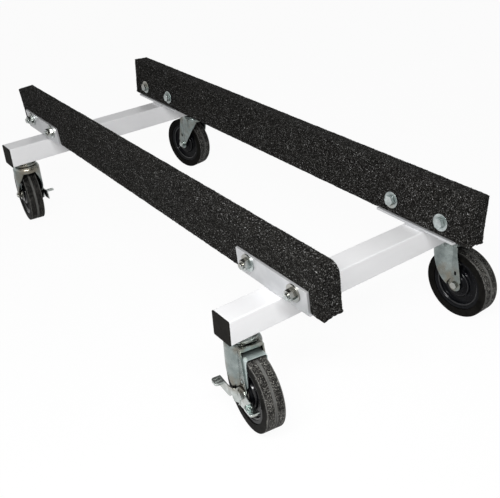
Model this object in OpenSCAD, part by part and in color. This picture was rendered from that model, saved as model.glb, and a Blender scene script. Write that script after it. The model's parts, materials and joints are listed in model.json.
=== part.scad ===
// Personal watercraft dolly: two carpeted bunks on two aluminium cross tubes, with four swivel casters.
// Origin on the floor under the middle of the dolly. +X is the front, +Y the left side, +Z up. Millimetres.

/* [Cross tubes] */
// Outside width and height of the square tube
tube_w = 50.8; // [50:0.1:52]
// Wall thickness of the tube
tube_wall = 3.2; // [2.5:0.1:4]
// Length of each tube, without its end caps
tube_len = 620; // [600:5:700]
// Distance between the two tubes, centre to centre
tube_pitch = 1018.7; // [900:0.1:1100]
// Outside corner radius of the tube
tube_corner = 2.8; // [1:0.1:4]
// Thickness of the end cap's flange
cap_flange = 2.3; // [1.5:0.1:3]

/* [Bunks] */
// Length of a bunk over its carpet
bunk_len = 1283; // [1200:1:1400]
// Thickness of the bunk board
board_t = 38; // [35:0.5:40]
// Height of the bunk board
board_h = 89; // [85:0.5:92]
// Carpet thickness on the sides of the board
carpet_side = 2; // [1.5:0.1:3]
// Carpet thickness on the top, bottom and ends of the board
carpet_edge = 5; // [4:0.5:6]
// How far the bunks sit forward of the middle
bunk_forward = 3.5; // [0:0.5:10]
// Half the gap between the bunks, at their outer bottom edges
bunk_y = 196.2; // [180:0.1:215]
// Outward lean of each bunk, in degrees
bunk_lean = 4.3; // [3:0.1:6]
// Radius worn into the front top corner of the right bunk
worn_corner = 22; // [10:1:30]

/* [Brackets and bunk bolts] */
// Thickness of the bracket angle
angle_t = 4.8; // [4:0.1:6]
// Height of the bracket's upright leg, outside
angle_h = 50.8; // [45:0.1:52]
// Length of a bracket
angle_len = 203; // [180:1:215]
// Spacing of the two bolts in a bracket
bolt_pitch = 130.8; // [110:0.1:140]
// Height of a bolt above the bottom of the bunk
bolt_up = 28.5; // [25:0.5:31]
// Diameter of a bunk bolt
bolt_d = 12.7; // [12:0.1:13]
// Width across the flats of its head and nut
bolt_af = 19.05; // [18.5:0.05:20]
// Outside diameter of the flat washers
washer_d = 34.9; // [30:0.1:36]

/* [Casters] */
// Distance from the floor to the underside of the tubes
caster_h = 184.2; // [180:0.1:190]
// Distance of a swivel axis from the middle of the dolly, along the tube
swivel_y = 270.1; // [260:0.1:275]
// Radius of the wheel, and height of its axle
wheel_r = 76.2; // [74:0.1:77]
// Width of the tyre
tyre_w = 38.1; // [37:0.1:38.5]
// Trail: distance of the axle behind the swivel axis
trail = 35.2; // [32:0.1:37]
// Direction in which the front right wheel trails, in degrees
turn_front_right = -7.3; // [-180:0.1:180]
// Direction in which the rear right wheel trails
turn_rear_right = 173.5; // [-180:0.1:180]
// Direction in which the front left wheel trails
turn_front_left = 2.3; // [-180:0.1:180]
// Direction in which the rear left wheel trails
turn_rear_left = -170.3; // [-180:0.1:180]

/* [Forks] */
// Outside radius of the round yoke
yoke_r = 35; // [34.5:0.1:36]
// Distance of each leg's outer face from the middle of the wheel
leg_y = 24.4; // [24.3:0.1:26]
// Thickness of the fork's steel
fork_t = 3; // [2.6:0.1:3]
// Radius of the leg's rounded end
leg_end_r = 14.5; // [13:0.1:15]

/* [Brakes] */
// How far the front right lever's long arm is raised, in degrees
lever_front_right = 0; // [0:1:20]
// How far the rear right lever's long arm is raised
lever_rear_right = 17; // [0:1:20]
// Width of the brake strap over the wheel
strap_w = 30; // [26:1:31]
// Thickness of the brake strap
strap_t = 1.6; // [1.2:0.1:1.6]

/* [Hidden] */
$fn = 64;
// A hair of overlap that keeps cuts clean
slip = 0.01;
// A tool longer than anything it cuts
through = 400;

tube_end = tube_len / 2;
tube_x = tube_pitch / 2;
tube_low = caster_h;
tube_top = tube_low + tube_w;
tube_inner = tube_w - 2 * tube_wall;
tube_inner_corner = 0.8;

bunk_t = board_t + 2 * carpet_side;
bunk_h = board_h + 2 * carpet_edge;
board_len = bunk_len - 2 * carpet_edge;
carpet_r = 3;
board_r = 2;
seam_w = 5;
// Height of the bunk's outer bottom edge, with the bracket's heel on the tube
bunk_base = tube_top + angle_t * cos(bunk_lean);
toe_len = 46;
weld_len = 41;
bolt_xs = [-bolt_pitch / 2, bolt_pitch / 2];

bunk_washer_t = 2.6;
bolt_head_h = 8;
nut_h = 11;
bolt_tail = 5;
bolt_hole_r = bolt_d / 2 + 0.2;

staple_count = 9;
staple_pitch = 140;
staple_w = 11;
staple_wire = 1.2;
staple_leg = 12;
staple_sunk = 0.8;
seam_to_staple = 7;

plug_len = 18;
plug_wall = 2.5;
plug_gap = 0.15;
plug_corner = 1.4;
// A round dimple in the middle of each cap
dimple_r = 2.2;
dimple_depth = 0.6;

// Heights in a caster are measured down from the underside of the tube
axle_down = caster_h - wheel_r;
stem_r = 6.35;
stem_hole_r = 6.55;
stem_up = 20;
stem_washer_r = 15;
kingpin_r = 6.3;
kingpin_down = 24.5;
kingpin_head_r = 9;
race_r = 28.8;
race_neck_r = 25;
race_t = 2.6;
race_rim_down = 7.6;
ball_r = 3.2;
lower_ball_r = 2.2;
ball_gap = 0.1;
upper_ball_circle = 21;
lower_ball_circle = 13;
upper_ball_down = 6.4;
lower_ball_down = 16.6;
upper_balls = 18;
lower_balls = 10;
crown_hole_r = 8;
crown_top = 8.4;
crown_low = 13.4;
shoulder_r = 13;
crown_r = yoke_r - shoulder_r;
crown_lap = 1;
crown_boss_low = 15.4;
crown_boss_r = 19;
fold_r = 6;
// How far the ledge at the back runs in over the round part
ledge_in = 8;
cup_r = 18.5;
cup_top = 17.6;
cup_low = 21.6;

lip_x = 34;
lip_top = 10.6;
lip_low = 18.5;
lip_half_w = 22.5;
lip_corner = 6;
lip_fold_r = 3;
leg_back_x = 50;
leg_back_down = 97;
front_arc_r = 210.5;
front_arc_x = 173.5;
front_arc_up = 33.2;
// Where the front wall's lower edge turns down into the legs
arch_corner = [[-30, -25.5], [-28.2, -27.5], [-27, -31]];
// Lowest point of the straight part of a leg's outline, under which only its round end reaches
leg_straight_down = axle_down + 4.8;
// Each leg's end disc, the flat that is pressed round it and the dish between that flat and the round wall
end_disc_r = leg_end_r - 0.5;
flat_r = leg_end_r + 2;
dish_r = flat_r + 2;
dish_gap = 0.5;
// Where the round wall runs into the flat legs
meet_x = sqrt(yoke_r ^ 2 - leg_y ^ 2);
slot_down = 79;
slot_w = 5.5;
slot_h = 10;
leg_inner = leg_y - fork_t;

axle_r = 5;
axle_fit = 0.06;
axle_head_af = 14;
axle_head_h = 4.8;
axle_nut_h = 7;
axle_tail = 2;
axle_washer_r = 8.5;
axle_washer_t = 1;
sleeve_r = 7.95;
sleeve_bore_r = 5.2;
bearing_bore_r = 8;
bearing_r = 11;
bearing_half = leg_inner - 0.4;
hub_half = leg_inner - strap_t - 0.5;
boss_r = 30;
web_half = 8;
rim_in_r = 47;
rim_half = 17.4;
seat_r = 59;
tread_groove_w = 4;
tread_groove_d = 2.5;
tyre_shoulder = 1.5;

brake_washer_r = 10;
brake_washer_t = 0.8;
lever_gap = 0.1;
lever_t = 2.4;
// The lever's hub lies against the washer, and its long arm is set out to clear the round yoke
lever_y = leg_y + brake_washer_t + lever_gap;
lever_set_out = 10;
set_out_from = -9.5;
set_out_to = -16;
lever_hub_r = 15;
long_pad_x = -69.9;
long_pad_up = 1.2;
long_pad_len = 21;
long_pad_out = 20;
short_pad_x = 34.6;
short_pad_up = 6.3;
short_pad_len = 28;
short_pad_out = 18;
pad_corner = 6;
pad_rim = 5;
pad_wall = 1.8;
// From an arm's outer face to the turned-down rim
pad_neck = 1.5;
pad_rib_w = 2.6;
pad_rib_h = 0.9;
pad_rib_margin = 4;
pip_r = 1.5;
pip_apart = 6.4;
pip_in = 9;
pip_out = 8.5;
// Side view of the lever, from its axle: along the underside to the short arm's end, then back over the top
lever_outline = [
    [-69.9, -23.3], [-57.9, -22.3], [-38.9, -21.3], [-28.9, -18.9], [-22.9, -10.7], [-17.9, -10.3],
    [-15.3, -16.6], [-15.1, -21.4], [-10.7, -24.8], [-11.1, -30.1], [-5.4, -31.2], [2.6, -29.8],
    [14.6, -29.2], [26.6, -24.2], [40.6, -12.2], [54.6, -3.2], [61.6, 3.8], [62.6, 6.3],
    [34.6, 6.3], [28.6, 4.2], [21.3, 5.2], [14.1, 8.4], [8.6, 12.8], [0.6, 14.8],
    [-7.2, 13], [-13, 6], [-15.4, 7.9], [-21.9, 5.7], [-28.9, 3.2], [-35.9, 2.2],
    [-42.9, 1.4], [-48.9, 1.2], [-69.9, 1.2]
];
strap_top_down = 25;
strap_corner = 6;
tongue_down = 80;
tongue_r = strap_w / 2;

FRONT_RIGHT = [tube_x, -swivel_y, turn_front_right];
REAR_RIGHT = [-tube_x, -swivel_y, turn_rear_right];
FRONT_LEFT = [tube_x, swivel_y, turn_front_left];
REAR_LEFT = [-tube_x, swivel_y, turn_rear_left];
CASTERS = [FRONT_RIGHT, REAR_RIGHT, FRONT_LEFT, REAR_LEFT];

CORNER_NAMES = ["front_right", "rear_right", "front_left", "rear_left"];
FRAME_PARTS = ["end_cap", "bracket"];
WHEEL_PARTS = ["fork", "axle_bolt", "axle_nut", "axle_sleeve", "wheel_bearing", "wheel_hub", "tyre"];
BRAKE_PARTS = ["brake_lever", "brake_washer", "brake_strap"];

// Places a shape at a caster, turned the way its wheel trails
module at_caster(caster) {
    translate([caster[0], caster[1], 0]) rotate(caster[2]) children();
}

// Places a shape under a cross tube, in line with the tube
module at_stem(caster) {
    translate([caster[0], caster[1], 0]) children();
}

// Runs a round tool along Y through the axle
module along_axle(y0, y1, r) {
    translate([trail, y0, wheel_r]) rotate([-90, 0, 0]) cylinder(h = y1 - y0, r = r);
}

// A hexagon prism along Y at the axle
module hex_on_axle(y0, y1, flats) {
    translate([trail, y0, wheel_r]) rotate([-90, 0, 0])
        cylinder(h = y1 - y0, r = flats / 2 / cos(30), $fn = 6);
}

// A square with round corners, on its centre
module rounded_square(size, r) {
    square([size - 2 * r, size], center = true);
    square([size, size - 2 * r], center = true);
    for (sx = [-1, 1], sy = [-1, 1])
        translate([sx * (size / 2 - r), sy * (size / 2 - r)]) circle(r = r);
}

// A rectangle with round corners, from its lower left corner
module rounded_rect(w, h, r) {
    translate([r, 0]) square([w - 2 * r, h]);
    translate([0, r]) square([w, h - 2 * r]);
    for (cx = [r, w - r], cy = [r, h - r]) translate([cx, cy]) circle(r = r);
}

// Runs a profile drawn in X and Z along Y
module across(y0, y1) {
    translate([0, y1, 0]) rotate([90, 0, 0]) linear_extrude(height = y1 - y0) children();
}

// A cross tube, with a hole for each caster's stem in its lower wall
module cross_tube(x) {
    color("gainsboro") difference() {
        translate([x, 0, tube_low + tube_w / 2]) rotate([90, 0, 0])
            linear_extrude(height = tube_len, center = true) difference() {
                rounded_square(tube_w, tube_corner);
                rounded_square(tube_inner, tube_inner_corner);
            }
        for (side = [-1, 1])
            translate([x, side * swivel_y, tube_low - slip])
                cylinder(h = tube_wall + 2 * slip, r = stem_hole_r);
    }
}

// A plastic cap in the end of a tube: a flange and a hollow plug
module end_cap(caster) {
    side = sign(caster[1]);
    plug = tube_inner - 2 * plug_gap;
    color("#26262a") translate([caster[0], side * tube_end, tube_low + tube_w / 2])
        mirror([0, side < 0 ? 1 : 0, 0]) difference() {
            union() {
                translate([0, cap_flange, 0]) rotate([90, 0, 0])
                    linear_extrude(height = cap_flange) rounded_square(tube_w, tube_corner);
                rotate([90, 0, 0]) linear_extrude(height = plug_len) difference() {
                    rounded_square(plug, plug_corner);
                    square(plug - 2 * plug_wall, center = true);
                }
            }
            translate([0, cap_flange - dimple_depth, 0]) rotate([-90, 0, 0])
                cylinder(h = cap_flange, r = dimple_r);
        }
}

// Places a shape on the left side in the leaning frame of the bunk, whose outer bottom edge is the X axis
module lean_left() {
    translate([0, bunk_y, bunk_base]) rotate([-bunk_lean, 0, 0]) children();
}

// The same on either side: side is -1 on the right and 1 on the left
module lean(side) {
    mirror([0, side < 0 ? 1 : 0, 0]) lean_left() children();
}

// Bores the bolt holes of a bunk, across its thickness
module bunk_bolt_tools(r, y0, y1) {
    for (x = [-tube_x, tube_x], dx = bolt_xs)
        translate([x + dx, y0, bolt_up]) rotate([-90, 0, 0]) cylinder(h = y1 - y0, r = r);
}

// A bar with round edges, as long as a bunk or its board, in the bunk's frame
module bunk_bar(len, t, h, r) {
    translate([bunk_forward - len / 2, -(bunk_t + t) / 2, (bunk_h - h) / 2]) rotate([90, 0, 90])
        linear_extrude(height = len) rounded_rect(t, h, r);
}

// What is left of a bar's side view once its front top corner is worn round
module worn_side(len, h, r) {
    front = bunk_forward + len / 2;
    top = (bunk_h + h) / 2;
    across(-bunk_t - 1, 1) difference() {
        translate([front - len - 1, -1]) square([len + 2, bunk_h + 2]);
        translate([front - r, top - r]) difference() {
            square(r + 2);
            circle(r = r);
        }
    }
}

// A staple, pressed into the carpet's pile, which is also the tool that makes its holes
module staple() {
    for (dx = [-staple_w / 2, staple_w / 2])
        translate([dx - staple_wire / 2, -staple_wire / 2, staple_sunk])
            cube([staple_wire, staple_wire, staple_leg]);
    translate([-(staple_w + staple_wire) / 2, -staple_wire / 2, staple_sunk])
        cube([staple_w + staple_wire, staple_wire, staple_wire]);
}

// Places each staple of a bunk beside the carpet's seam
module each_staple() {
    for (i = [0:staple_count - 1], dy = [-seam_to_staple, seam_to_staple]) {
        x = bunk_forward + (i - (staple_count - 1) / 2) * staple_pitch;
        translate([x, dy - bunk_t / 2, 0]) children();
    }
}

module bunk_board(side, front_r) {
    color("#b98d5a") lean(side) difference() {
        intersection() {
            bunk_bar(board_len, board_t, board_h, board_r);
            worn_side(board_len, board_h, front_r);
        }
        bunk_bolt_tools(bolt_hole_r, -bunk_t - 1, 1);
        each_staple() staple();
    }
}

// The carpet goes round the board and over its ends, with its seam along the bottom
module bunk_carpet(side, front_r) {
    color("#2b2b29") lean(side) difference() {
        intersection() {
            bunk_bar(bunk_len, bunk_t, bunk_h, carpet_r);
            worn_side(bunk_len, bunk_h, front_r);
        }
        intersection() {
            bunk_bar(board_len, board_t, board_h, board_r);
            worn_side(board_len, board_h, max(front_r - carpet_edge, board_r));
        }
        translate([bunk_forward - board_len / 2, -(bunk_t + seam_w) / 2, -1])
            cube([board_len, seam_w, carpet_edge + 2]);
        bunk_bolt_tools(bolt_hole_r, -bunk_t - 1, 1);
        each_staple() staple();
    }
}

module carpet_staples() {
    color("silver") for (side = [-1, 1]) lean(side) each_staple() staple();
}

// Section of the angle, from the corner of the bunk that sits in it
module angle_section() {
    translate([-toe_len, -angle_t]) square([toe_len, angle_t]);
    square([angle_t, angle_h - angle_t]);
    intersection() {
        circle(r = angle_t);
        translate([0, -angle_t]) square(angle_t);
    }
}

// An angle with its heel welded to the tube and its upright leg against the outside of the bunk
module bracket(caster) {
    side = sign(caster[1]);
    c = cos(bunk_lean);
    s = sin(bunk_lean);
    toe_y = -toe_len * c - angle_t * s;
    toe_z = toe_len * s - angle_t * c;
    color("gainsboro") union() {
        difference() {
            translate([caster[0], 0, 0]) lean(side)
                translate([-angle_len / 2, 0, 0]) rotate([90, 0, 90])
                    linear_extrude(height = angle_len) angle_section();
            lean(side) bunk_bolt_tools(bolt_hole_r, -1, angle_t + 1);
        }
        mirror([0, side < 0 ? 1 : 0, 0]) translate([caster[0] - weld_len / 2, bunk_y, bunk_base])
            rotate([90, 0, 90]) linear_extrude(height = weld_len)
                polygon([[toe_y, toe_z], [toe_y, tube_top - bunk_base], [-angle_t, tube_top - bunk_base],
                    [-angle_t, (toe_z - angle_t) / 2]]);
    }
}

module bunk_bolts() {
    color("silver") for (side = [-1, 1], x = [-tube_x, tube_x], dx = bolt_xs)
        lean(side) translate([x + dx, 0, bolt_up]) rotate([-90, 0, 0]) {
            head_at = -bunk_t - bunk_washer_t;
            tip_at = angle_t + bunk_washer_t + nut_h + bolt_tail;
            translate([0, 0, head_at - bolt_head_h])
                cylinder(h = bolt_head_h, r = bolt_af / 2 / cos(30), $fn = 6);
            translate([0, 0, head_at - slip]) cylinder(h = tip_at - head_at, r = bolt_d / 2);
        }
}

module flat_washer(r, hole_r, t) {
    difference() {
        cylinder(h = t, r = r);
        translate([0, 0, -slip]) cylinder(h = t + 2 * slip, r = hole_r);
    }
}

module hex_nut(flats, hole_r, h) {
    difference() {
        cylinder(h = h, r = flats / 2 / cos(30), $fn = 6);
        translate([0, 0, -slip]) cylinder(h = h + 2 * slip, r = hole_r);
    }
}

module bunk_washers() {
    color("silver")
        for (side = [-1, 1], x = [-tube_x, tube_x], dx = bolt_xs, y = [-bunk_t - bunk_washer_t, angle_t])
        lean(side) translate([x + dx, y, bolt_up]) rotate([-90, 0, 0])
            flat_washer(washer_d / 2, bolt_hole_r, bunk_washer_t);
}

module bunk_nuts() {
    color("silver") for (side = [-1, 1], x = [-tube_x, tube_x], dx = bolt_xs)
        lean(side) translate([x + dx, angle_t + bunk_washer_t, bolt_up]) rotate([-90, 0, 0])
            hex_nut(bolt_af, bolt_d / 2, nut_h);
}

// The threaded stem and, below it, the pin on which the yoke turns
module swivel_stems() {
    color("silver") for (caster = CASTERS) at_stem(caster) translate([0, 0, tube_low]) {
        translate([0, 0, -race_t]) cylinder(h = stem_up + race_t, r = stem_r);
        translate([0, 0, -kingpin_down]) cylinder(h = kingpin_down, r = kingpin_r);
        translate([0, 0, -kingpin_down]) cylinder(h = kingpin_down - cup_low, r = kingpin_head_r);
    }
}

module stem_washers() {
    color("silver") for (caster = CASTERS) at_stem(caster) translate([0, 0, tube_low + tube_wall])
        flat_washer(stem_washer_r, stem_hole_r, bunk_washer_t);
}

module stem_nuts() {
    color("silver") for (caster = CASTERS) at_stem(caster)
        translate([0, 0, tube_low + tube_wall + bunk_washer_t]) hex_nut(bolt_af, stem_r, nut_h);
}

// The fixed top disc of each caster, with the groove of the upper balls in its underside
module upper_races() {
    color("#b9c4c6") for (caster = CASTERS) at_stem(caster) translate([0, 0, tube_low])
        rotate_extrude() difference() {
            polygon([[stem_r, 0], [race_neck_r, 0], [race_neck_r, -race_t + 0.4],
                [race_r - 1.5, -race_t - 0.4], [race_r, -race_t - 1.4],
                [race_r, -race_rim_down], [race_r - 2.5, -race_rim_down],
                [race_r - 4, -upper_ball_down + 1], [upper_ball_circle - ball_r, -upper_ball_down + 1],
                [stem_r + 4, -race_t], [stem_r, -race_t]]);
            translate([upper_ball_circle, -upper_ball_down]) circle(r = ball_r + ball_gap);
        }
}

module race_balls() {
    color("silver") for (caster = CASTERS) at_stem(caster) translate([0, 0, tube_low]) {
        for (i = [0:upper_balls - 1]) rotate(i * 360 / upper_balls)
            translate([upper_ball_circle, 0, -upper_ball_down]) sphere(r = ball_r);
        for (i = [0:lower_balls - 1]) rotate(i * 360 / lower_balls)
            translate([lower_ball_circle, 0, -lower_ball_down]) sphere(r = lower_ball_r);
    }
}

// The cup riveted under the yoke, which holds the lower balls
module retaining_cups() {
    color("#b9c4c6") for (caster = CASTERS) at_stem(caster) translate([0, 0, tube_low])
        rotate_extrude() difference() {
            polygon([[kingpin_r, -cup_low], [cup_r - 3, -cup_low], [cup_r, -cup_low + 3],
                [cup_r, -cup_top + 1.4], [cup_r - 1.5, -cup_top + 1.4],
                [lower_ball_circle, -cup_top], [kingpin_r, -cup_top]]);
            translate([lower_ball_circle, -lower_ball_down]) circle(r = lower_ball_r + ball_gap);
        }
}

// Side view of the yoke under the tube: a long arc in front, a straight back edge and the front wall
module yoke_side() {
    intersection() {
        translate([front_arc_x, front_arc_up]) circle(r = front_arc_r, $fn = 256);
        polygon([[-yoke_r - 1, 0], [-yoke_r - 1, -leg_straight_down], [trail, -leg_straight_down],
            [leg_back_x, -leg_back_down], [lip_x, -lip_low], [lip_x, 0]]);
    }
    polygon(concat(
        [[0, 0], [-yoke_r - 1, 0], [-yoke_r - 1, arch_corner[0][1]]], arch_corner, [[0, arch_corner[2][1]]]
    ));
    translate([trail, -axle_down]) circle(r = leg_end_r);
}

// Half section of the round part: a bell with a soft shoulder, and the upright wall under it
module bell_section(r) {
    shoulder = shoulder_r - (yoke_r - r);
    translate([0, -crown_top - shoulder_r]) square([r - shoulder, shoulder]);
    translate([0, -axle_down - leg_end_r - 1])
        square([r, axle_down + leg_end_r + 1 - crown_top - shoulder_r]);
    intersection() {
        translate([r - shoulder, -crown_top - shoulder_r]) circle(r = shoulder);
        translate([0, -crown_top - shoulder_r - slip]) square([r + 1, shoulder_r + 1]);
    }
}

// Front view of the folded part at the back: two legs and the ledge that joins them
module folded_section(half_w, top, r) {
    low = axle_down + leg_end_r + 1;
    translate([-half_w, -low]) square([2 * half_w, low - top - r]);
    translate([-half_w + r, -low]) square([2 * (half_w - r), low - top]);
    for (sy = [-1, 1]) translate([sy * (half_w - r), -top - r]) circle(r = r);
}

// The pressed sheet of the yoke before its sides are trimmed
module yoke_sheet() {
    difference() {
        rotate_extrude() difference() {
            bell_section(yoke_r);
            bell_section(yoke_r - fork_t);
        }
        translate([meet_x, -through / 2, -through]) cube([through, through, through]);
        // Flush with the legs' inner faces beside the wheel and its brake strap
        translate([meet_x - ledge_in, -leg_inner, -through])
            cube([through, 2 * leg_inner, through - crown_top - shoulder_r]);
    }
    difference() {
        translate([meet_x - ledge_in, 0, 0]) rotate([90, 0, 90])
            linear_extrude(height = leg_back_x + 1) difference() {
                folded_section(leg_y, lip_top, fold_r);
                folded_section(leg_inner, lip_top + fork_t, fold_r - fork_t);
            }
        translate([-through, -through / 2, -through])
            cube([through + meet_x, through, through - lip_top - fold_r]);
    }
}

// The thick middle of the crown
module crown() {
    difference() {
        union() {
            translate([0, 0, -crown_low]) cylinder(h = crown_low - crown_top, r = crown_r + crown_lap);
            translate([0, 0, -crown_boss_low])
                cylinder(h = crown_boss_low - crown_low + crown_lap, r = crown_boss_r);
        }
        translate([0, 0, -through / 2]) cylinder(h = through, r = crown_hole_r);
    }
}

// The grooves in which both rows of balls run
module ball_grooves() {
    rotate_extrude() translate([upper_ball_circle, -upper_ball_down]) circle(r = ball_r + ball_gap);
    rotate_extrude() translate([lower_ball_circle, -lower_ball_down]) circle(r = lower_ball_r + ball_gap);
}

// The dished wall that joins each leg's pressed flat to the round part
module dish() {
    intersection() {
        along_axle(-yoke_r, yoke_r, dish_r);
        translate([0, 0, tube_low - through / 2]) cylinder(h = through, r = yoke_r - dish_gap);
        across(-yoke_r, yoke_r) translate([0, tube_low]) intersection() {
            translate([front_arc_x, front_arc_up]) circle(r = front_arc_r - dish_gap, $fn = 256);
            translate([trail - dish_r, -leg_straight_down + dish_gap]) square([dish_r, 2 * dish_r]);
        }
    }
}

// The ledge's rear edge, turned down into a lip with round corners
module lip() {
    intersection() {
        translate([lip_x - fork_t, 0, 0]) rotate([90, 0, 90]) linear_extrude(height = fork_t) {
            translate([-lip_half_w, -lip_low + lip_corner])
                square([2 * lip_half_w, lip_low - lip_corner - lip_top - 1]);
            translate([-lip_half_w + lip_corner, -lip_low])
                square([2 * (lip_half_w - lip_corner), lip_low - lip_top - lip_fold_r]);
            for (sy = [-1, 1]) translate([sy * (lip_half_w - lip_corner), -lip_low + lip_corner])
                circle(r = lip_corner);
        }
        across(-through / 2, through / 2) {
            translate([0, -lip_low]) square([lip_x, lip_low - lip_top - lip_fold_r]);
            translate([0, -lip_low]) square([lip_x - lip_fold_r, lip_low]);
            translate([lip_x - lip_fold_r, -lip_top - lip_fold_r]) circle(r = lip_fold_r);
        }
    }
}

module fork(caster) {
    color("#a9b0ae") at_caster(caster) difference() {
        union() {
            translate([0, 0, tube_low]) {
                difference() {
                    intersection() {
                        yoke_sheet();
                        across(-through / 2, through / 2) yoke_side();
                    }
                    translate([0, 0, -crown_low]) cylinder(h = crown_low, r = crown_r);
                }
                crown();
                lip();
            }
            along_axle(leg_inner, leg_y, end_disc_r);
            along_axle(-leg_y, -leg_inner, end_disc_r);
            difference() {
                dish();
                across(-leg_inner, leg_inner) translate([0, tube_low - through / 2]) square(through);
            }
        }
        // A flat round the axle on the outside of each leg, for the lever and the nut
        along_axle(leg_y, through / 2, flat_r);
        along_axle(-through / 2, -leg_y, flat_r);
        translate([0, 0, tube_low]) ball_grooves();
        along_axle(-through / 2, through / 2, axle_r + axle_fit);
        across(-through / 2, through / 2) translate([trail, tube_low - slot_down]) leg_slot();
    }
}

// Hole in each leg that takes the hook of a brake strap
module leg_slot() {
    square([slot_w, slot_h - slot_w], center = true);
    for (up = [-1, 1]) translate([0, up * (slot_h - slot_w) / 2]) circle(r = slot_w / 2);
}

// The head's seat: against the leg, or against the brake lever
function head_seat(braked) = braked ? lever_y + lever_t + lever_gap : leg_y;

module axle_bolt(caster, braked) {
    seat = head_seat(braked);
    tip = leg_y + axle_washer_t + axle_nut_h + axle_tail;
    color("silver") at_caster(caster) {
        hex_on_axle(-seat - axle_head_h, -seat, axle_head_af);
        along_axle(-seat - slip, tip, axle_r);
    }
}

module axle_nut(caster) {
    color("silver") at_caster(caster) {
        difference() {
            hex_on_axle(leg_y + axle_washer_t, leg_y + axle_washer_t + axle_nut_h, axle_head_af);
            along_axle(leg_y, through, axle_r);
        }
        difference() {
            along_axle(leg_y, leg_y + axle_washer_t, axle_washer_r);
            along_axle(leg_y - slip, through, axle_r + axle_fit);
        }
    }
}

// The tube on the bolt that spaces the legs and carries the wheel
module axle_sleeve(caster) {
    color("silver") at_caster(caster) difference() {
        along_axle(-leg_inner, leg_inner, sleeve_r);
        along_axle(-leg_inner - 1, leg_inner + 1, sleeve_bore_r);
    }
}

// Turns a profile drawn in radius and width round the axle
module turned_on_axle(caster) {
    at_caster(caster) translate([trail, 0, wheel_r]) rotate([90, 0, 0]) rotate_extrude($fn = 128) children();
}

module wheel_bearing(caster) {
    color("#e6e2d4") turned_on_axle(caster) translate([bearing_bore_r, -bearing_half])
        square([bearing_r - bearing_bore_r, 2 * bearing_half]);
}

// Section of one side of the hub, from its bore over the boss and the web to its rim
hub_side = [
    [bearing_r, hub_half], [boss_r - 9, hub_half], [boss_r - 7, hub_half - 2.5], [boss_r - 1, hub_half - 3.5],
    [boss_r + 1, web_half + 1], [boss_r + 3, web_half], [rim_in_r - 2, web_half], [rim_in_r, web_half + 1.5],
    [rim_in_r + 1.5, rim_half - 3], [rim_in_r + 4, rim_half - 2], [rim_in_r + 5, rim_half], [seat_r, rim_half]
];

module wheel_hub(caster) {
    other_side = [for (i = [len(hub_side) - 1:-1:0]) [hub_side[i][0], -hub_side[i][1]]];
    color("#1f2022") turned_on_axle(caster) polygon(concat(hub_side, other_side));
}

// A solid rubber tyre, with a groove round the middle of its tread and soft shoulders
module tyre(caster) {
    half = tyre_w / 2;
    color("#34332f") turned_on_axle(caster) difference() {
        union() {
            translate([seat_r, -half]) square([wheel_r - seat_r - tyre_shoulder, tyre_w]);
            translate([seat_r, -half + tyre_shoulder]) square([wheel_r - seat_r, tyre_w - 2 * tyre_shoulder]);
            for (sy = [-1, 1]) translate([wheel_r - tyre_shoulder, sy * (half - tyre_shoulder)])
                circle(r = tyre_shoulder);
        }
        translate([wheel_r - tread_groove_d, -tread_groove_w / 2])
            square([tread_groove_d + 1, tread_groove_w]);
    }
}

// Places a shape at the axle, on the lever's side, with the lever's long arm raised
module on_lever(caster, raised) {
    at_caster(caster) translate([trail, 0, wheel_r]) rotate([0, raised, 0]) mirror([0, 1, 0]) children();
}

// The lever seen from above: flat at its hub, and set out along its long arm
module lever_plan() {
    far = through / 2;
    out = lever_y + lever_set_out;
    polygon([[-far, out], [set_out_to, out], [set_out_from, lever_y], [far, lever_y],
        [far, lever_y + lever_t], [set_out_from, lever_y + lever_t],
        [set_out_to, out + lever_t], [-far, out + lever_t]]);
}

// Outline of a foot pad: its inner edge is the fold along the arm
module pad_outline(len, out, inset) {
    r = pad_corner - inset;
    translate([inset, 0]) square([len - 2 * inset, out - pad_corner]);
    translate([pad_corner, 0]) square([len - 2 * pad_corner, out - inset]);
    for (cx = [pad_corner, len - pad_corner]) translate([cx, out - pad_corner]) circle(r = r);
}

// A foot pad bent out from an arm, with its rim turned down
module lever_pad(x, y, up, len, out) {
    rim_from = lever_t + pad_neck;
    translate([x, y, up]) {
        translate([0, 0, -lever_t]) linear_extrude(height = lever_t) pad_outline(len, out, 0);
        translate([0, rim_from, -pad_rim]) linear_extrude(height = pad_rim - slip) difference() {
            pad_outline(len, out - rim_from, 0);
            translate([0, -slip]) pad_outline(len, out - rim_from, pad_wall);
        }
    }
}

// Raised ribs across a pad
module pad_ribs(x, y, up, len, out, count) {
    for (i = [1:count]) translate([x + len * i / (count + 1) - pad_rib_w / 2, y + pad_rib_margin, up - slip])
        cube([pad_rib_w, out - 2 * pad_rib_margin, pad_rib_h]);
}

// Two small pips on a pad
module pad_pips(x, y, up) {
    for (d = [-pip_apart / 2, pip_apart / 2]) translate([x, y + d, up - pip_r / 2]) sphere(r = pip_r);
}

module brake_lever(caster, raised) {
    color("#a9b0ae") on_lever(caster, raised) difference() {
        union() {
            intersection() {
                across(0, through) {
                    polygon(lever_outline);
                    circle(r = lever_hub_r);
                }
                translate([0, 0, -through / 2]) linear_extrude(height = through) lever_plan();
            }
            lever_pad(long_pad_x, lever_y + lever_set_out, long_pad_up, long_pad_len, long_pad_out);
            pad_ribs(long_pad_x, lever_y + lever_set_out, long_pad_up, long_pad_len, long_pad_out, 2);
            lever_pad(short_pad_x, lever_y, short_pad_up, short_pad_len, short_pad_out);
            pad_pips(short_pad_x + pip_in, lever_y + pip_out, short_pad_up);
        }
        rotate([-90, 0, 0]) cylinder(h = through, r = axle_r + axle_fit);
    }
}

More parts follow.
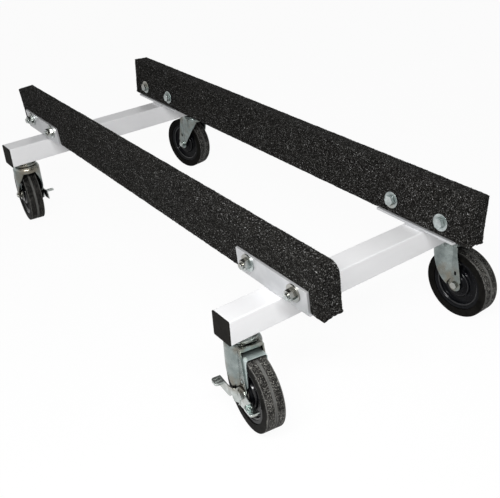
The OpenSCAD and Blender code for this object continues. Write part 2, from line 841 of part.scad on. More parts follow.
// The thin washer between a lever and its leg
module brake_washer(caster) {
    color("silver") at_caster(caster) difference() {
        along_axle(-leg_y - brake_washer_t, -leg_y, brake_washer_r);
        along_axle(-leg_y - brake_washer_t - 1, -leg_y + 1, axle_r + axle_fit);
    }
}

// Front view of the brake strap: over the wheel and down inside the legs
module strap_front() {
    difference() {
        translate([-leg_inner, -axle_down]) strap_outline(2 * leg_inner, strap_corner);
        translate([-leg_inner + strap_t, -axle_down - strap_t])
            strap_outline(2 * (leg_inner - strap_t), strap_corner - strap_t);
    }
}

module strap_outline(w, r) {
    top = axle_down - strap_top_down;
    square([w, top - r]);
    translate([r, 0]) square([w - 2 * r, top]);
    for (cx = [r, w - r]) translate([cx, top - r]) circle(r = r);
}

// A sprung strap whose ends press on the hub's boss, hooked into the slots of both legs
module brake_strap(caster) {
    color("#b4bcb8") at_caster(caster) translate([0, 0, tube_low]) {
        intersection() {
            translate([trail - strap_w / 2, 0, 0]) rotate([90, 0, 90])
                linear_extrude(height = strap_w) strap_front();
            across(-through / 2, through / 2) {
                translate([trail, -tongue_down]) circle(r = tongue_r);
                translate([trail - strap_w / 2, -tongue_down]) square([strap_w, tongue_down]);
            }
        }
        for (side = [-1, 1]) translate([trail - slot_w / 2 + 0.5, side * (leg_y - 1.2) - 2.2, -slot_down - 2])
            cube([slot_w - 1, 4.4, 4]);
    }
}

cross_tube(tube_x);  // front_cross_tube
cross_tube(-tube_x);  // rear_cross_tube
end_cap(FRONT_RIGHT);  // front_right_end_cap
end_cap(REAR_RIGHT);  // rear_right_end_cap
end_cap(FRONT_LEFT);  // front_left_end_cap
end_cap(REAR_LEFT);  // rear_left_end_cap
bracket(FRONT_RIGHT);  // front_right_bracket
bracket(REAR_RIGHT);  // rear_right_bracket
bracket(FRONT_LEFT);  // front_left_bracket
bracket(REAR_LEFT);  // rear_left_bracket
bunk_board(-1, worn_corner - carpet_edge);  // right_bunk_board
bunk_board(1, board_r);  // left_bunk_board
bunk_carpet(-1, worn_corner);  // right_bunk_carpet
bunk_carpet(1, carpet_r);  // left_bunk_carpet
bunk_bolts();
bunk_washers();
bunk_nuts();
carpet_staples();
swivel_stems();
stem_washers();
stem_nuts();
upper_races();
race_balls();
retaining_cups();
fork(FRONT_RIGHT);  // front_right_fork
fork(REAR_RIGHT);  // rear_right_fork
fork(FRONT_LEFT);  // front_left_fork
fork(REAR_LEFT);  // rear_left_fork
axle_bolt(FRONT_RIGHT, true);  // front_right_axle_bolt
axle_bolt(REAR_RIGHT, true);  // rear_right_axle_bolt
axle_bolt(FRONT_LEFT, false);  // front_left_axle_bolt
axle_bolt(REAR_LEFT, false);  // rear_left_axle_bolt
axle_nut(FRONT_RIGHT);  // front_right_axle_nut
axle_nut(REAR_RIGHT);  // rear_right_axle_nut
axle_nut(FRONT_LEFT);  // front_left_axle_nut
axle_nut(REAR_LEFT);  // rear_left_axle_nut
axle_sleeve(FRONT_RIGHT);  // front_right_axle_sleeve
axle_sleeve(REAR_RIGHT);  // rear_right_axle_sleeve
axle_sleeve(FRONT_LEFT);  // front_left_axle_sleeve
axle_sleeve(REAR_LEFT);  // rear_left_axle_sleeve
wheel_bearing(FRONT_RIGHT);  // front_right_wheel_bearing
wheel_bearing(REAR_RIGHT);  // rear_right_wheel_bearing
wheel_bearing(FRONT_LEFT);  // front_left_wheel_bearing
wheel_bearing(REAR_LEFT);  // rear_left_wheel_bearing
wheel_hub(FRONT_RIGHT);  // front_right_wheel_hub
wheel_hub(REAR_RIGHT);  // rear_right_wheel_hub
wheel_hub(FRONT_LEFT);  // front_left_wheel_hub
wheel_hub(REAR_LEFT);  // rear_left_wheel_hub
tyre(FRONT_RIGHT);  // front_right_tyre
tyre(REAR_RIGHT);  // rear_right_tyre
tyre(FRONT_LEFT);  // front_left_tyre
tyre(REAR_LEFT);  // rear_left_tyre
brake_lever(FRONT_RIGHT, lever_front_right);  // front_right_brake_lever
brake_lever(REAR_RIGHT, lever_rear_right);  // rear_right_brake_lever
brake_washer(FRONT_RIGHT);  // front_right_brake_washer
brake_washer(REAR_RIGHT);  // rear_right_brake_washer
brake_strap(FRONT_RIGHT);  // front_right_brake_strap
brake_strap(REAR_RIGHT);  // rear_right_brake_strap
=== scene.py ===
import json
import math

import bmesh
import bpy
import numpy as np
from mathutils import Matrix, Vector, noise

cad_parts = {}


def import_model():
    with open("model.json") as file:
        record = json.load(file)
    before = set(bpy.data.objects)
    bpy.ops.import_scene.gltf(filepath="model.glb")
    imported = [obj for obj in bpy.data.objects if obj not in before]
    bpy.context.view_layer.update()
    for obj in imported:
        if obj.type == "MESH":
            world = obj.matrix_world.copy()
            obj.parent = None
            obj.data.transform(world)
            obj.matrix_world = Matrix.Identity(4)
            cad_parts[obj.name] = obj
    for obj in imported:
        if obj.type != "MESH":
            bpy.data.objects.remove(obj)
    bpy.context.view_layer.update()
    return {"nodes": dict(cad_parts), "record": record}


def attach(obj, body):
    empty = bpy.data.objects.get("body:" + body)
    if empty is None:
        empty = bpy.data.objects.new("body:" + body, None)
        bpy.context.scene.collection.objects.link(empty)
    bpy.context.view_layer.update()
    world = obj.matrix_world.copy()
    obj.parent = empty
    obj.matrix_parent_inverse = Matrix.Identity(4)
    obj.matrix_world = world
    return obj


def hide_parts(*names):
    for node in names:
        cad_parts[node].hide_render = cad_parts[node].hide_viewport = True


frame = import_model()
NODES = frame["nodes"]

# Casters: where each swivel axis stands, and the direction in which its wheel trails.
TUBE_X = 0.50935
SWIVEL_Y = 0.2701
TRAIL = 0.0352
WHEEL_R = 0.0762
CASTERS = {
    "front_right": (TUBE_X, -SWIVEL_Y, -7.3),
    "rear_right": (-TUBE_X, -SWIVEL_Y, 173.5),
    "front_left": (TUBE_X, SWIVEL_Y, 2.3),
    "rear_left": (-TUBE_X, SWIVEL_Y, -170.3),
}
BRAKED = ("front_right", "rear_right")

# Bunks: each leans outwards about its outer bottom edge, on brackets on the tubes. The right one's front
# top corner is worn round.
LEAN = math.radians(4.3)
TUBE_TOP = 0.235
BRACKET_T = 0.0048
BUNK_Y = 0.1962
BUNK_Z = TUBE_TOP + BRACKET_T * math.cos(LEAN)
BUNK_LEN = 1.283
BUNK_T = 0.042
BUNK_H = 0.099
BUNK_FORWARD = 0.0035
WORN_R = 0.022
BOARD_T = 0.038
BOARD_H = 0.089
BOARD_END = 0.005

# What presses on a bunk's carpet: brackets outside and below, washers inside. The pile is flat under them,
# and stands up again over BY_BRACKET or BY_WASHER from their edges. Points within ON_OUTSIDE or ON_INSIDE of
# the bunk's faces count as on them.
BRACKET_LEN = 0.203
BRACKET_H = 0.046
BRACKET_TOE = 0.046
BOLT_PITCH = 0.1308
BOLT_UP = 0.0285
WASHER_R = 0.01745
BY_BRACKET = 0.005
BY_WASHER = 0.007
ON_OUTSIDE = 0.001
ON_INSIDE = 0.002

# The carpet's outside and its lining on the board: how round their edges and how far apart their points are.
CARPET_EDGE_R = 0.0035
CARPET_STEP = 0.0028
LINING_EDGE_R = 0.002
LINING_STEP = 0.02

# How the carpet gives: it dips into the seam below, sags beside it, and is wavy and uneven all round.
SEAM_HALF = 0.0025
SEAM_DIP = 0.0016
SAG = 0.0012
SAG_FROM_SEAM = 0.011
SAG_OVER = 0.006
UNDERSIDE = 0.004
PILE_LIFT = 0.0003
WAVES = 0.0005
LONG_WAVES = 38
SHORT_WAVES = 130
SHORT_SHARE = 0.6
UNEVEN = 0.00022
CLEARANCE = 0.0001

# The tufts on it, and its size when flat.
TUFTS = 22000
# Painted glints: this share of tufts is lighter, standing in for light glinting off the pile.
GLINT_TUFTS = 0.05
TUFT_HALF = (0.00018, 0.00038)
TUFT_TALL = (0.0006, 0.0016)
TUFT_ROOT = 0.0003
TUFT_ASIDE = 0.0009
TUFT_LEAN = 0.0007

# Wheels.
TYRE_HALF = 0.01905
GROOVE_HALF = 0.002
RIM_EDGE_R = 0.0495
BOSS_EDGE_R = 0.0295

# How dusty each tyre's tread is.
DUST = {"front_right": 0.95, "rear_right": 0.4, "front_left": 1.0, "rear_left": 0.9}

SEED = 7

# Floor, light by height, lamp and camera.
FLOOR_HALF = 30
FLOOR_GREY = 0.93
FLOOR_SEEN = 0.95
FLOOR_MIRRORED = 0.45
SKY = ((0.0, 0.19), (0.35, 0.22), (1.0, 0.29))
LAMP_AT = (1.05, -0.80, 1.22)
LAMP_AIM = (0.1, 0, 0.15)
LAMP_SIZE = (1.2, 0.22)
LAMP_WATTS = 22.5
EYE = (1.4346, -0.8617, 0.98474)
LOOK_FROM = (-33.86, 30.081, -4.0605)
FOCAL_PX = 769.804
PHOTO_PX = 500
SENSOR = 36


# ---- materials ----

def feed(tree, socket, value):
    """Gives a node's input another node's result, or a constant."""
    if isinstance(value, bpy.types.NodeSocket):
        tree.links.new(value, socket)
    else:
        socket.default_value = value


def maths(tree, how, *values):
    """A Math node's result."""
    node = tree.nodes.new("ShaderNodeMath")
    node.operation = how
    for socket, value in zip(node.inputs, values):
        feed(tree, socket, value)
    return node.outputs["Value"]


def enabled(sockets):
    """The sockets that a node of several kinds has for the kind chosen."""
    return [s for s in sockets if s.enabled]


class Shader:
    """A material and short ways to add nodes to it."""

    def __init__(self, name):
        self.material = bpy.data.materials.new(name)
        self.material.use_nodes = True
        self.tree = self.material.node_tree
        self.surface = self.tree.nodes["Principled BSDF"]

    def add(self, kind, **settings):
        """Adds a node. Settings that start with in_ are for its inputs."""
        node = self.tree.nodes.new(kind)
        for key, value in settings.items():
            if key.startswith("in_"):
                feed(self.tree, node.inputs[key[3:].replace("_", " ")], value)
            else:
                setattr(node, key, value)
        return node

    def set(self, **values):
        """Sets inputs of the surface."""
        for key, value in values.items():
            feed(self.tree, self.surface.inputs[key.replace("_", " ")], value)

    def coords(self, **mapping):
        """The piece's own coordinates, moved by a Mapping node's values."""
        where = self.add("ShaderNodeTexCoord")
        place = self.add("ShaderNodeMapping", in_Vector=where.outputs["Object"], **mapping)
        return place.outputs["Vector"]

    def axle_coords(self, corner):
        """Coordinates from the middle of a caster's wheel: y along its axle."""
        x, y, turn = CASTERS[corner]
        to_wheel = Matrix.Rotation(-math.radians(turn), 3, "Z")
        axle = Vector((x, y, WHEEL_R)) + to_wheel.transposed() @ Vector((TRAIL, 0, 0))
        return self.coords(in_Location=-(to_wheel @ axle), in_Rotation=(0, 0, -math.radians(turn)))

    def around_axle(self, corner):
        """Distance from the axle, and distance along it from the wheel's middle, either way."""
        split = self.add("ShaderNodeSeparateXYZ", in_Vector=self.axle_coords(corner))
        squares = [self.maths("MULTIPLY", split.outputs[k], split.outputs[k]) for k in "XZ"]
        return self.maths("SQRT", self.maths("ADD", *squares)), self.maths("ABSOLUTE", split.outputs["Y"])

    def maths(self, how, *values):
        return maths(self.tree, how, *values)

    def band(self, source, low, high, soft):
        """1 between low and high, falling to 0 over soft on each side."""
        up = self.add("ShaderNodeMapRange", interpolation_type="SMOOTHSTEP", in_Value=source,
                      in_From_Min=low - soft, in_From_Max=low)
        down = self.add("ShaderNodeMapRange", interpolation_type="SMOOTHSTEP", in_Value=source,
                        in_From_Min=high, in_From_Max=high + soft, in_To_Min=1, in_To_Max=0)
        return self.maths("MULTIPLY", up.outputs["Result"], down.outputs["Result"])

    def noise(self, scale, detail, rough, stretch=(1, 1, 1)):
        """Noise from 0 to 1. The larger the scale or stretch, the finer it is."""
        node = self.add("ShaderNodeTexNoise", in_Vector=self.coords(in_Scale=stretch), in_Scale=scale,
                        in_Detail=detail, in_Roughness=rough)
        return node.outputs["Fac"]

    def ramp(self, source, stops):
        """Colours at places along a value from 0 to 1."""
        node = self.add("ShaderNodeValToRGB", in_Fac=source)
        marks = node.color_ramp.elements
        while len(marks) < len(stops):
            marks.new(0.5)
        for mark, (place, colour) in zip(marks, stops):
            mark.position = place
            mark.color = (*colour, 1)
        return node.outputs["Color"]

    def mix(self, amount, a, b, how="MIX"):
        """A colour between a and b, or another blend of the two."""
        node = self.add("ShaderNodeMix", data_type="RGBA", blend_type=how)
        for socket, value in zip(enabled(node.inputs), (amount, a, b)):
            feed(self.tree, socket, (*value, 1) if isinstance(value, tuple) else value)
        return enabled(node.outputs)[0]

    def level(self, source, low, high):
        """A value from 0 to 1, spread from low to high."""
        node = self.add("ShaderNodeMapRange", in_Value=source, in_To_Min=low, in_To_Max=high)
        return node.outputs["Result"]

    def bump(self, source, strength, distance, round_edges=0.0):
        """Relief from a value, with edges shaded as if they were round."""
        relief = self.add("ShaderNodeBump", in_Height=source, in_Strength=strength, in_Distance=distance)
        if round_edges:
            edge = self.add("ShaderNodeBevel", samples=4, in_Radius=round_edges)
            feed(self.tree, relief.inputs["Normal"], edge.outputs["Normal"])
        self.set(Normal=relief.outputs["Normal"])


def tube_metal():
    s = Shader("satin tube")
    cloud = s.noise(9, 4, 0.6, (1, 0.4, 1))
    s.set(Metallic=0.12, Specular_IOR_Level=0.3,
          Base_Color=s.ramp(cloud, [(0.3, (0.77, 0.77, 0.78)), (0.7, (0.83, 0.83, 0.835))]),
          Roughness=s.level(s.noise(60, 4, 0.6, (1, 0.1, 1)), 0.30, 0.44))
    s.bump(s.noise(700, 2, 0.5, (1, 0.004, 1)), 0.12, 0.0004, 0.0009)
    return s.material


def bracket_metal():
    s = Shader("mill finish bracket")
    cloud = s.noise(14, 4, 0.6)
    s.set(Metallic=0.55,
          Base_Color=s.ramp(cloud, [(0.3, (0.54, 0.55, 0.565)), (0.7, (0.70, 0.705, 0.715))]),
          Roughness=s.level(s.noise(90, 4, 0.6, (0.1, 1, 1)), 0.34, 0.5))
    s.bump(s.noise(600, 3, 0.6, (0.006, 1, 1)), 0.14, 0.0004, 0.0008)
    return s.material


def zinc(name, dark, light, rough, round_edges, tint=None, corner_shade=0.36):
    """Zinc plate: bluish metal in soft clouds, with patches of a tint, and painted shade that darkens it in
    corners and recesses.
    """
    s = Shader(name)
    colour = s.ramp(s.noise(55, 5, 0.62), [(0.28, dark), (0.72, light)])
    if tint:
        patch = s.ramp(s.noise(17, 4, 0.6), [(0.46, (0, 0, 0)), (0.62, (1, 1, 1))])
        colour = s.mix(patch, colour, tint)
    # Painted shade: where ambient occlusion finds corners and recesses, the colour is darkened, with a warm
    # cast.
    open_to_air = s.add("ShaderNodeAmbientOcclusion", samples=6, in_Distance=0.014)
    painted_corner_shade = s.ramp(open_to_air.outputs["AO"], [(0.2, (corner_shade, corner_shade * 0.97, corner_shade * 0.89)), (0.75, (1, 1, 1))])
    s.set(Metallic=1.0, Base_Color=s.mix(1.0, colour, painted_corner_shade, "MULTIPLY"),
          Roughness=s.level(s.noise(240, 4, 0.6), rough * 0.7, rough * 1.4))
    s.bump(s.noise(90, 3, 0.5), 0.10, 0.0012, round_edges)
    return s.material


def moulded(name, dark, light, rough, shine):
    """Plastic with a fine grain. shine is how much it reflects."""
    s = Shader(name)
    s.set(Specular_IOR_Level=shine,
          Base_Color=s.ramp(s.noise(40, 4, 0.6), [(0.3, dark), (0.7, light)]),
          Roughness=s.level(s.noise(160, 4, 0.6), rough * 0.8, rough * 1.25))
    s.bump(s.noise(900, 3, 0.6), 0.12, 0.0004, 0.0008)
    return s.material


def tyre(corner):
    """Rubber with smooth dark sides, and a dusty scuffed tread in two bands, with painted highlights along
    the groove's edges and the shoulders.
    """
    s = Shader(f"tyre rubber {corner}")
    radius, aside = s.around_axle(corner)
    side = s.ramp(s.noise(60, 4, 0.6), [(0.3, (0.004, 0.0038, 0.0034)), (0.7, (0.010, 0.0095, 0.0082))])
    grit = s.ramp(s.noise(560, 3, 0.75), [(0.38, (0.005, 0.005, 0.005)), (0.5, (0.032, 0.031, 0.030)),
                                          (0.58, (0.12, 0.117, 0.108)), (0.68, (0.7, 0.68, 0.62))])
    dust = [(place, (share * DUST[corner],) * 3)
            for place, share in ((0.36, 0.4), (0.5, 0.75), (0.64, 1.15))]
    scuffed = s.mix(1.0, grit, s.ramp(s.noise(42, 3, 0.6), dust), "MULTIPLY")
    # Painted highlight: lighter lines along the groove's edges and the shoulders, broken up by noise.
    edges = s.maths("MAXIMUM", s.band(aside, GROOVE_HALF + 0.0001, GROOVE_HALF + 0.0006, 0.0005),
                    s.band(aside, TYRE_HALF - 0.0020, TYRE_HALF - 0.0012, 0.0006))
    edge_highlight = s.maths("MULTIPLY", edges, s.level(s.noise(130, 4, 0.6), 0.2, 1.0))
    tread = s.band(radius, WHEEL_R - 0.0011, WHEEL_R + 0.01, 0.0008)
    colour = s.mix(tread, side, s.mix(edge_highlight, scuffed, (0.17, 0.17, 0.16)))
    groove = s.band(aside, -1, GROOVE_HALF, 0.0004)
    packed = s.maths("MULTIPLY", groove, s.level(s.noise(90, 4, 0.6), 0.3, 1.0))
    s.set(Specular_IOR_Level=0.02, Base_Color=s.mix(packed, colour, (0.21, 0.21, 0.20)),
          Roughness=s.level(s.noise(160, 4, 0.6), 0.4, 0.6))
    s.bump(s.noise(700, 3, 0.7), 0.3, 0.0005, 0.0012)
    return s.material


def hub(corner):
    """Dark moulded plastic with fine rings left by the mould, glossy only on the edges of rim and boss."""
    s = Shader(f"hub plastic {corner}")
    radius, _ = s.around_axle(corner)
    polished = s.maths("MAXIMUM", s.band(radius, RIM_EDGE_R - 0.001, RIM_EDGE_R + 0.001, 0.0008),
                       s.band(radius, BOSS_EDGE_R - 0.001, BOSS_EDGE_R + 0.001, 0.0008))
    cloud = s.noise(50, 4, 0.6)
    s.set(Base_Color=s.ramp(cloud, [(0.3, (0.002, 0.0022, 0.003)), (0.7, (0.006, 0.0066, 0.008))]),
          Roughness=s.level(s.noise(120, 4, 0.6), 0.08, 0.16),
          Specular_IOR_Level=s.level(polished, 0.08, 0.5))
    s.bump(s.maths("SINE", s.maths("MULTIPLY", radius, 3200)), 0.12, 0.0002, 0.003)
    return s.material


def wood():
    s = Shader("sawn softwood")
    rings = s.noise(26, 6, 0.6, (0.05, 1, 1))
    s.set(Roughness=0.7, Base_Color=s.ramp(rings, [(0.3, (0.42, 0.26, 0.13)), (0.7, (0.68, 0.49, 0.29))]))
    s.bump(s.noise(180, 5, 0.6, (0.05, 1, 1)), 0.3, 0.0006)
    return s.material


def carpet():
    """Needle-punched carpet: near-black yarn in clumps, with painted glints: bright specks in the colour
    that stand in for light glinting off the pile.
    """
    s = Shader("marine carpet")
    loops = s.add("ShaderNodeTexVoronoi", in_Scale=620, in_Vector=s.coords())
    split = s.add("ShaderNodeSeparateColor", in_Color=loops.outputs["Color"])
    yarns = s.ramp(split.outputs["Red"], [(0.0, (0.006, 0.006, 0.0055)), (0.6, (0.015, 0.0148, 0.014)),
                                          (0.9, (0.036, 0.036, 0.036)), (1.0, (0.10, 0.103, 0.105))])
    # Painted glints: the bright end of this ramp lifts specks many times above the yarn's colour, in place
    # of light glinting off the pile.
    clumps_and_glints = s.ramp(s.noise(430, 3, 0.6), [(0.38, (0.2, 0.19, 0.18)), (0.53, (0.7, 0.69, 0.67)),
                                           (0.66, (6.2, 6.25, 6.3))])
    patches = s.ramp(s.noise(22, 4, 0.6), [(0.3, (0.82, 0.80, 0.78)), (0.7, (1.0, 0.98, 0.95))])
    s.set(Roughness=0.95, Specular_IOR_Level=0.06,
          Base_Color=s.mix(1.0, s.mix(1.0, yarns, clumps_and_glints, "MULTIPLY"), patches, "MULTIPLY"))
    s.bump(s.noise(520, 3, 0.7), 0.8, 0.0012)
    return s.material


def yarn(name, dark, light):
    """Fibres of pile that stand up from the carpet."""
    s = Shader(name)
    s.set(Roughness=0.85, Specular_IOR_Level=0.06,
          Base_Color=s.ramp(s.noise(150, 3, 0.6), [(0.3, dark), (0.7, light)]))
    s.bump(s.noise(1500, 2, 0.6), 0.3, 0.0003)
    return s.material


LOOKS = {
    "tube_aluminium": tube_metal(),
    "bracket_aluminium": bracket_metal(),
    "cap_plastic": moulded("cap plastic", (0.009, 0.0085, 0.0075), (0.016, 0.015, 0.013),
                           rough=0.62, shine=0.04),
    "bunk_carpet": carpet(),
    "bunk_wood": wood(),
    # Bright zinc, with deep painted shade in its corners.
    "zinc_hardware": zinc("bright zinc", (0.26, 0.30, 0.30), (0.74, 0.80, 0.79),
                          rough=0.15, round_edges=0.0007, tint=(0.40, 0.395, 0.365), corner_shade=0.14),
    "zinc_pressing": zinc("pressed zinc", (0.17, 0.205, 0.20), (0.34, 0.38, 0.37),
                          rough=0.24, round_edges=0.0008, tint=(0.215, 0.20, 0.165)),
    "ball_steel": zinc("polished balls", (0.60, 0.60, 0.62), (0.72, 0.72, 0.74), rough=0.12, round_edges=0),
    "bearing_nylon": moulded("nylon", (0.62, 0.60, 0.52), (0.75, 0.73, 0.65), rough=0.45, shine=0.4),
}

# Nodes that look otherwise than their slot.
STRAP = zinc("strap zinc", (0.52, 0.61, 0.60), (0.72, 0.80, 0.79), rough=0.36, round_edges=0.0005)
LEVER = zinc("lever zinc", (0.32, 0.345, 0.33), (0.66, 0.70, 0.68),
             rough=0.22, round_edges=0.0011, tint=(0.27, 0.25, 0.21))
NODE_LOOKS = {f"{corner}_tyre": tyre(corner) for corner in CASTERS}
NODE_LOOKS |= {f"{corner}_wheel_hub": hub(corner) for corner in CASTERS}
NODE_LOOKS |= {f"{corner}_brake_strap": STRAP for corner in BRAKED}
NODE_LOOKS |= {f"{corner}_brake_lever": LEVER for corner in BRAKED}

# The carpets' pile.
PILE_DARK = yarn("dark pile", (0.006, 0.006, 0.0058), (0.024, 0.0238, 0.0225))
# Painted glints: the lighter pile stands in for light glinting off the fibres.
PILE_GLINT = yarn("glinting pile", (0.07, 0.071, 0.071), (0.22, 0.222, 0.22))

for part in frame["record"]["subparts"]:
    mesh = NODES[part["node"]].data
    mesh.materials.clear()
    mesh.materials.append(NODE_LOOKS.get(part["node"]) or LOOKS[part["material_slot"]])


# ---- carpets, wrapped round the bunks ----

def section(thick, high, radius, step):
    """Points round a rounded rectangle, from the middle of its bottom, about its own middle."""
    points = []
    corners = ((1, -1, -90), (1, 1, 0), (-1, 1, 90), (-1, -1, 180))
    for side, up, start in corners:
        for k in range(5):
            turn = math.radians(start + 22.5 * k)
            points.append((side * (thick / 2 - radius) + radius * math.cos(turn),
                           up * (high / 2 - radius) + radius * math.sin(turn)))
    closed = [(0.0, -high / 2), *points, (0.0, -high / 2)]
    loop = []
    for a, b in zip(closed, closed[1:]):
        parts = max(1, round(math.dist(a, b) / step))
        loop += [(a[0] + (b[0] - a[0]) * k / parts, a[1] + (b[1] - a[1]) * k / parts) for k in range(parts)]
    return np.array(loop)


def wear_corner(points, front, top, radius):
    """Rounds the front top corner of a bar's side view, in place."""
    u = points[:, 0] - (front - radius)
    v = points[:, 2] - (top - radius)
    worn = (u > 0) & (v > 0)
    keep = np.maximum(u, v)[worn] / np.hypot(u, v)[worn]
    points[worn, 0] = front - radius + u[worn] * keep
    points[worn, 2] = top - radius + v[worn] * keep


def bar(thick, high, length, radius, step, worn):
    """A closed bar with round edges in the middle of the bunk, as a bmesh: x along it, y outwards, z up."""
    loop = section(thick, high, radius, step)
    flat = np.arange(thick / 2, radius, -step)
    arc = np.radians((0, 30, 60, 90))
    insets = np.concatenate([flat, radius - radius * np.sin(arc)])
    out = np.concatenate([np.zeros(len(flat)), radius - radius * np.cos(arc)])
    middle = np.linspace(-length / 2 + radius, length / 2 - radius, round(length / step))[1:-1]
    xs = np.concatenate([-length / 2 + out, middle, (length / 2 - out)[::-1]])
    insets = np.concatenate([insets, np.zeros(len(middle)), insets[::-1]])
    half = np.array([thick / 2, high / 2])
    rows = [np.column_stack([np.full(len(loop), x), np.clip(loop, inset - half, half - inset)])
            for x, inset in zip(xs, insets)]
    points = np.concatenate(rows) + (BUNK_FORWARD, -BUNK_T / 2, BUNK_H / 2)
    if worn:
        wear_corner(points, BUNK_FORWARD + length / 2, (BUNK_H + high) / 2, worn)
    shape = bmesh.new()
    verts = [shape.verts.new(p) for p in points]
    around = len(loop)
    for row in range(len(xs) - 1):
        for k in range(around):
            here, there = row * around + k, row * around + (k + 1) % around
            shape.faces.new((verts[here], verts[there], verts[there + around], verts[here + around]))
    bmesh.ops.remove_doubles(shape, verts=shape.verts, dist=1e-6)
    bmesh.ops.recalc_face_normals(shape, faces=shape.faces)
    return shape


def ramp_up(distance, reach):
    """0 where something presses the pile, rising to 1 at reach from it."""
    return np.clip(distance / reach, 0, 1)


def outside_box(*spans):
    """How far outside a box each point is, from (values, low, high) for each direction."""
    gaps = [np.maximum(np.maximum(low - values, values - high), 0) for values, low, high in spans]
    return np.sqrt(sum(gap ** 2 for gap in gaps))


def freedom(x, y, z):
    """How far the pile can stand up at each place, from 0 under metal to 1."""
    free = np.ones(len(x))
    for tube in (-TUBE_X, TUBE_X):
        near = (x, tube - BRACKET_LEN / 2, tube + BRACKET_LEN / 2)
        upright = outside_box(near, (y, -ON_OUTSIDE, np.inf), (z, -np.inf, BRACKET_H))
        toe = outside_box(near, (y, -BRACKET_TOE, np.inf), (z, -np.inf, ON_OUTSIDE))
        free = np.minimum(free, ramp_up(np.minimum(upright, toe), BY_BRACKET))
        for bolt in (-BOLT_PITCH / 2, BOLT_PITCH / 2):
            ring = np.hypot(x - tube - bolt, z - BOLT_UP) - WASHER_R
            free = np.minimum(free, np.where(y < ON_INSIDE - BUNK_T, ramp_up(ring, BY_WASHER), 1))
    return free


def points_of(mesh, what):
    """A mesh's vertices or vertex_normals as rows of three."""
    values = np.empty(len(mesh.vertices) * 3)
    getattr(mesh, what).foreach_get("co" if what == "vertices" else "vector", values)
    return values.reshape(-1, 3)


def bunk_place(side):
    """From the bunk's own frame to the dolly's, mirrored on the right."""
    left = Matrix.Translation((0, BUNK_Y, BUNK_Z)) @ Matrix.Rotation(-LEAN, 4, "X")
    return left if side > 0 else Matrix.Diagonal((1, -1, 1, 1)) @ left


def show(name, data):
    """An object with this mesh, light or camera, in the scene."""
    obj = bpy.data.objects.new(name, data)
    bpy.context.collection.objects.link(obj)
    return obj


def add_piece(name, mesh, materials, *replaced):
    """A piece of carpet on the frame's body, in place of the CAD nodes named."""
    obj = show(name, mesh)
    for each in materials:
        mesh.materials.append(each)
    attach(obj, "frame")
    if replaced:
        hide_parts(*replaced)
    return obj


def roughen(mesh, rng):
    """Pushes each point of the carpet out or in along its normal, less where metal presses it."""
    points, normals = points_of(mesh, "vertices"), points_of(mesh, "vertex_normals")
    free = freedom(*points.T)
    waves = np.array([noise.noise(Vector(p) * LONG_WAVES)
                      + SHORT_SHARE * noise.noise(Vector(p) * SHORT_WAVES) for p in points])
    from_seam = np.abs(points[:, 1] + BUNK_T / 2)
    under = points[:, 2] < UNDERSIDE
    sag = SAG * ramp_up(from_seam - SAG_FROM_SEAM, SAG_OVER) * under
    dip = SEAM_DIP * (1 - ramp_up(from_seam, 2 * SEAM_HALF)) * under
    loose = PILE_LIFT + sag + WAVES * waves + rng.normal(0, UNEVEN, len(points))
    height = free * loose - dip - CLEARANCE
    mesh.vertices.foreach_set("co", (points + normals * height[:, None]).ravel())
    mesh.update()


def tufts(skin, count, rng):
    """Short spikes of pile on a carpet's skin, each a closed sliver, as a mesh with a few lighter ones
    painted as glints.
    """
    points, normals = points_of(skin, "vertices"), points_of(skin, "vertex_normals")
    free = freedom(*points.T)
    at = rng.choice(np.flatnonzero(free > 0.9), count)
    along = np.cross(normals[at], rng.normal(size=(count, 3)))
    along /= np.linalg.norm(along, axis=1)[:, None]
    across = np.cross(normals[at], along)
    wide = rng.uniform(*TUFT_HALF, count)[:, None]
    tall = rng.uniform(*TUFT_TALL, count)[:, None]
    root = points[at] + along * rng.normal(0, TUFT_ASIDE, (count, 1)) - normals[at] * TUFT_ROOT
    tip = root + normals[at] * tall + across * rng.normal(0, TUFT_LEAN, (count, 1))
    corners = np.stack([root + along * wide, root - (along - 1.7 * across) * wide / 2,
                        root - (along + 1.7 * across) * wide / 2, tip], 1)
    faces = np.array([(0, 1, 3), (1, 2, 3), (2, 0, 3), (2, 1, 0)])
    every = (4 * np.arange(count)[:, None, None] + faces).reshape(-1, 3)
    mesh = bpy.data.meshes.new("tufts")
    mesh.from_pydata(corners.reshape(-1, 3).tolist(), [], every.tolist())
    # Painted glints: this share of tufts takes the lighter pile.
    light = np.repeat(rng.random(count) < GLINT_TUFTS, len(faces))
    mesh.polygons.foreach_set("material_index", light.astype(np.int32))
    return mesh


def settle(mesh, side):
    """Moves a finished mesh from the bunk's frame to the dolly's, its faces still outwards."""
    mesh.transform(bunk_place(side))
    if side < 0:
        mesh.flip_normals()


def wrap(name, side, worn):
    """A bunk's carpet, inside and out, and the pile on it."""
    rng = np.random.default_rng(SEED + side)
    outside = bar(BUNK_T, BUNK_H, BUNK_LEN, CARPET_EDGE_R, CARPET_STEP, worn)
    mesh = bpy.data.meshes.new(f"{name}_carpet_wrap")
    outside.to_mesh(mesh)
    outside.free()
    roughen(mesh, rng)
    fluff = tufts(mesh, TUFTS, rng)
    lining_len = BUNK_LEN - 2 * BOARD_END
    lining = bar(BOARD_T, BOARD_H, lining_len, LINING_EDGE_R, LINING_STEP, worn and worn - BOARD_END)
    bmesh.ops.reverse_faces(lining, faces=lining.faces)
    lining.from_mesh(mesh)
    lining.to_mesh(mesh)
    lining.free()
    settle(mesh, side)
    settle(fluff, side)
    pile = add_piece(f"{name}_carpet_pile", fluff, (PILE_DARK, PILE_GLINT))
    skin = add_piece(f"{name}_carpet_wrap", mesh, (LOOKS["bunk_carpet"],), f"{name}_carpet")


wrap("right_bunk", -1, WORN_R)
wrap("left_bunk", 1, 0)


# ---- stage, light and camera ----

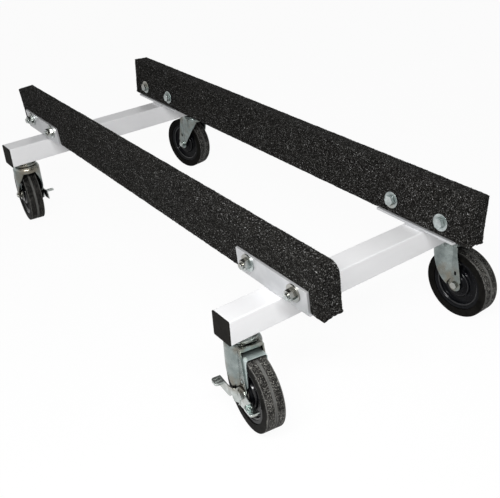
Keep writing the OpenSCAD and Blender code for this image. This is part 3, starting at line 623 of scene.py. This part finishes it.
def seen_directly(tree, to_camera, in_mirrors):
    """Share of a plain white that shows to the camera, and in reflections and through glass."""
    path = tree.nodes.new("ShaderNodeLightPath")
    bounced = maths(tree, "MAXIMUM", path.outputs["Is Glossy Ray"], path.outputs["Is Transmission Ray"])
    return maths(tree, "ADD", maths(tree, "MULTIPLY", path.outputs["Is Camera Ray"], to_camera),
                 maths(tree, "MULTIPLY", bounced, in_mirrors))


def floor():
    s = Shader("studio floor")
    s.set(Roughness=0.9, Specular_IOR_Level=0.0, Base_Color=(FLOOR_GREY, FLOOR_GREY, FLOOR_GREY, 1))
    white = s.add("ShaderNodeEmission", in_Color=(1, 1, 1, 1), in_Strength=1.0)
    mix = s.add("ShaderNodeMixShader", in_Fac=seen_directly(s.tree, FLOOR_SEEN, FLOOR_MIRRORED))
    s.tree.links.new(s.surface.outputs["BSDF"], mix.inputs[1])
    s.tree.links.new(white.outputs["Emission"], mix.inputs[2])
    s.tree.links.new(mix.outputs["Shader"], s.tree.nodes["Material Output"].inputs["Surface"])
    mesh = bpy.data.meshes.new("floor")
    corners = [(x * FLOOR_HALF, y * FLOOR_HALF, 0) for x, y in ((-1, -1), (1, -1), (1, 1), (-1, 1))]
    mesh.from_pydata(corners, [], [(0, 1, 2, 3)])
    mesh.materials.append(s.material)
    show("floor", mesh)


def lamp():
    light = bpy.data.lights.new("key", "AREA")
    light.shape = "RECTANGLE"
    light.size, light.size_y = LAMP_SIZE
    light.energy = LAMP_WATTS
    obj = show("key", light)
    obj.location = LAMP_AT
    obj.rotation_euler = (Vector(LAMP_AIM) - Vector(LAMP_AT)).to_track_quat("-Z", "Y").to_euler()
    obj.visible_camera = False


def world():
    """Soft grey light, lighter from above, that the camera and reflections see as white."""
    studio = bpy.data.worlds.new("studio")
    studio.use_nodes = True
    bpy.context.scene.world = studio
    tree = studio.node_tree
    back = tree.nodes["Background"]
    coords = tree.nodes.new("ShaderNodeTexCoord")
    split = tree.nodes.new("ShaderNodeSeparateXYZ")
    ramp = tree.nodes.new("ShaderNodeValToRGB")
    marks = ramp.color_ramp.elements
    marks.new(0.5)
    for mark, (place, grey) in zip(marks, SKY):
        mark.position = place
        mark.color = (grey, grey, grey * 1.01, 1)
    tree.links.new(coords.outputs["Generated"], split.inputs["Vector"])
    tree.links.new(split.outputs["Z"], ramp.inputs["Fac"])
    mix = tree.nodes.new("ShaderNodeMix")
    mix.data_type = "RGBA"
    share, grey_light, white = enabled(mix.inputs)
    tree.links.new(seen_directly(tree, 1.0, 1.0), share)
    tree.links.new(ramp.outputs["Color"], grey_light)
    white.default_value = (1, 1, 1, 1)
    tree.links.new(enabled(mix.outputs)[0], back.inputs["Color"])


def camera():
    """The photo's camera, solved from the edges of tubes and bunks: azimuth, elevation and roll."""
    az, el, roll = (math.radians(angle) for angle in LOOK_FROM)
    ahead = -Vector((math.cos(el) * math.cos(az), math.cos(el) * math.sin(az), math.sin(el)))
    right = ahead.cross(Vector((0, 0, 1))).normalized()
    up = right.cross(ahead)
    side = math.cos(roll) * right + math.sin(roll) * up
    top = -math.sin(roll) * right + math.cos(roll) * up
    turn = Matrix((side, top, -ahead)).transposed().to_4x4()
    data = bpy.data.cameras.new("camera")
    data.lens = FOCAL_PX / PHOTO_PX * SENSOR
    data.sensor_width = SENSOR
    data.clip_start = 0.05
    obj = show("camera", data)
    obj.matrix_world = Matrix.Translation(EYE) @ turn
    bpy.context.scene.camera = obj


floor()
world()
lamp()
camera()
bpy.context.scene.view_settings.view_transform = "Standard"
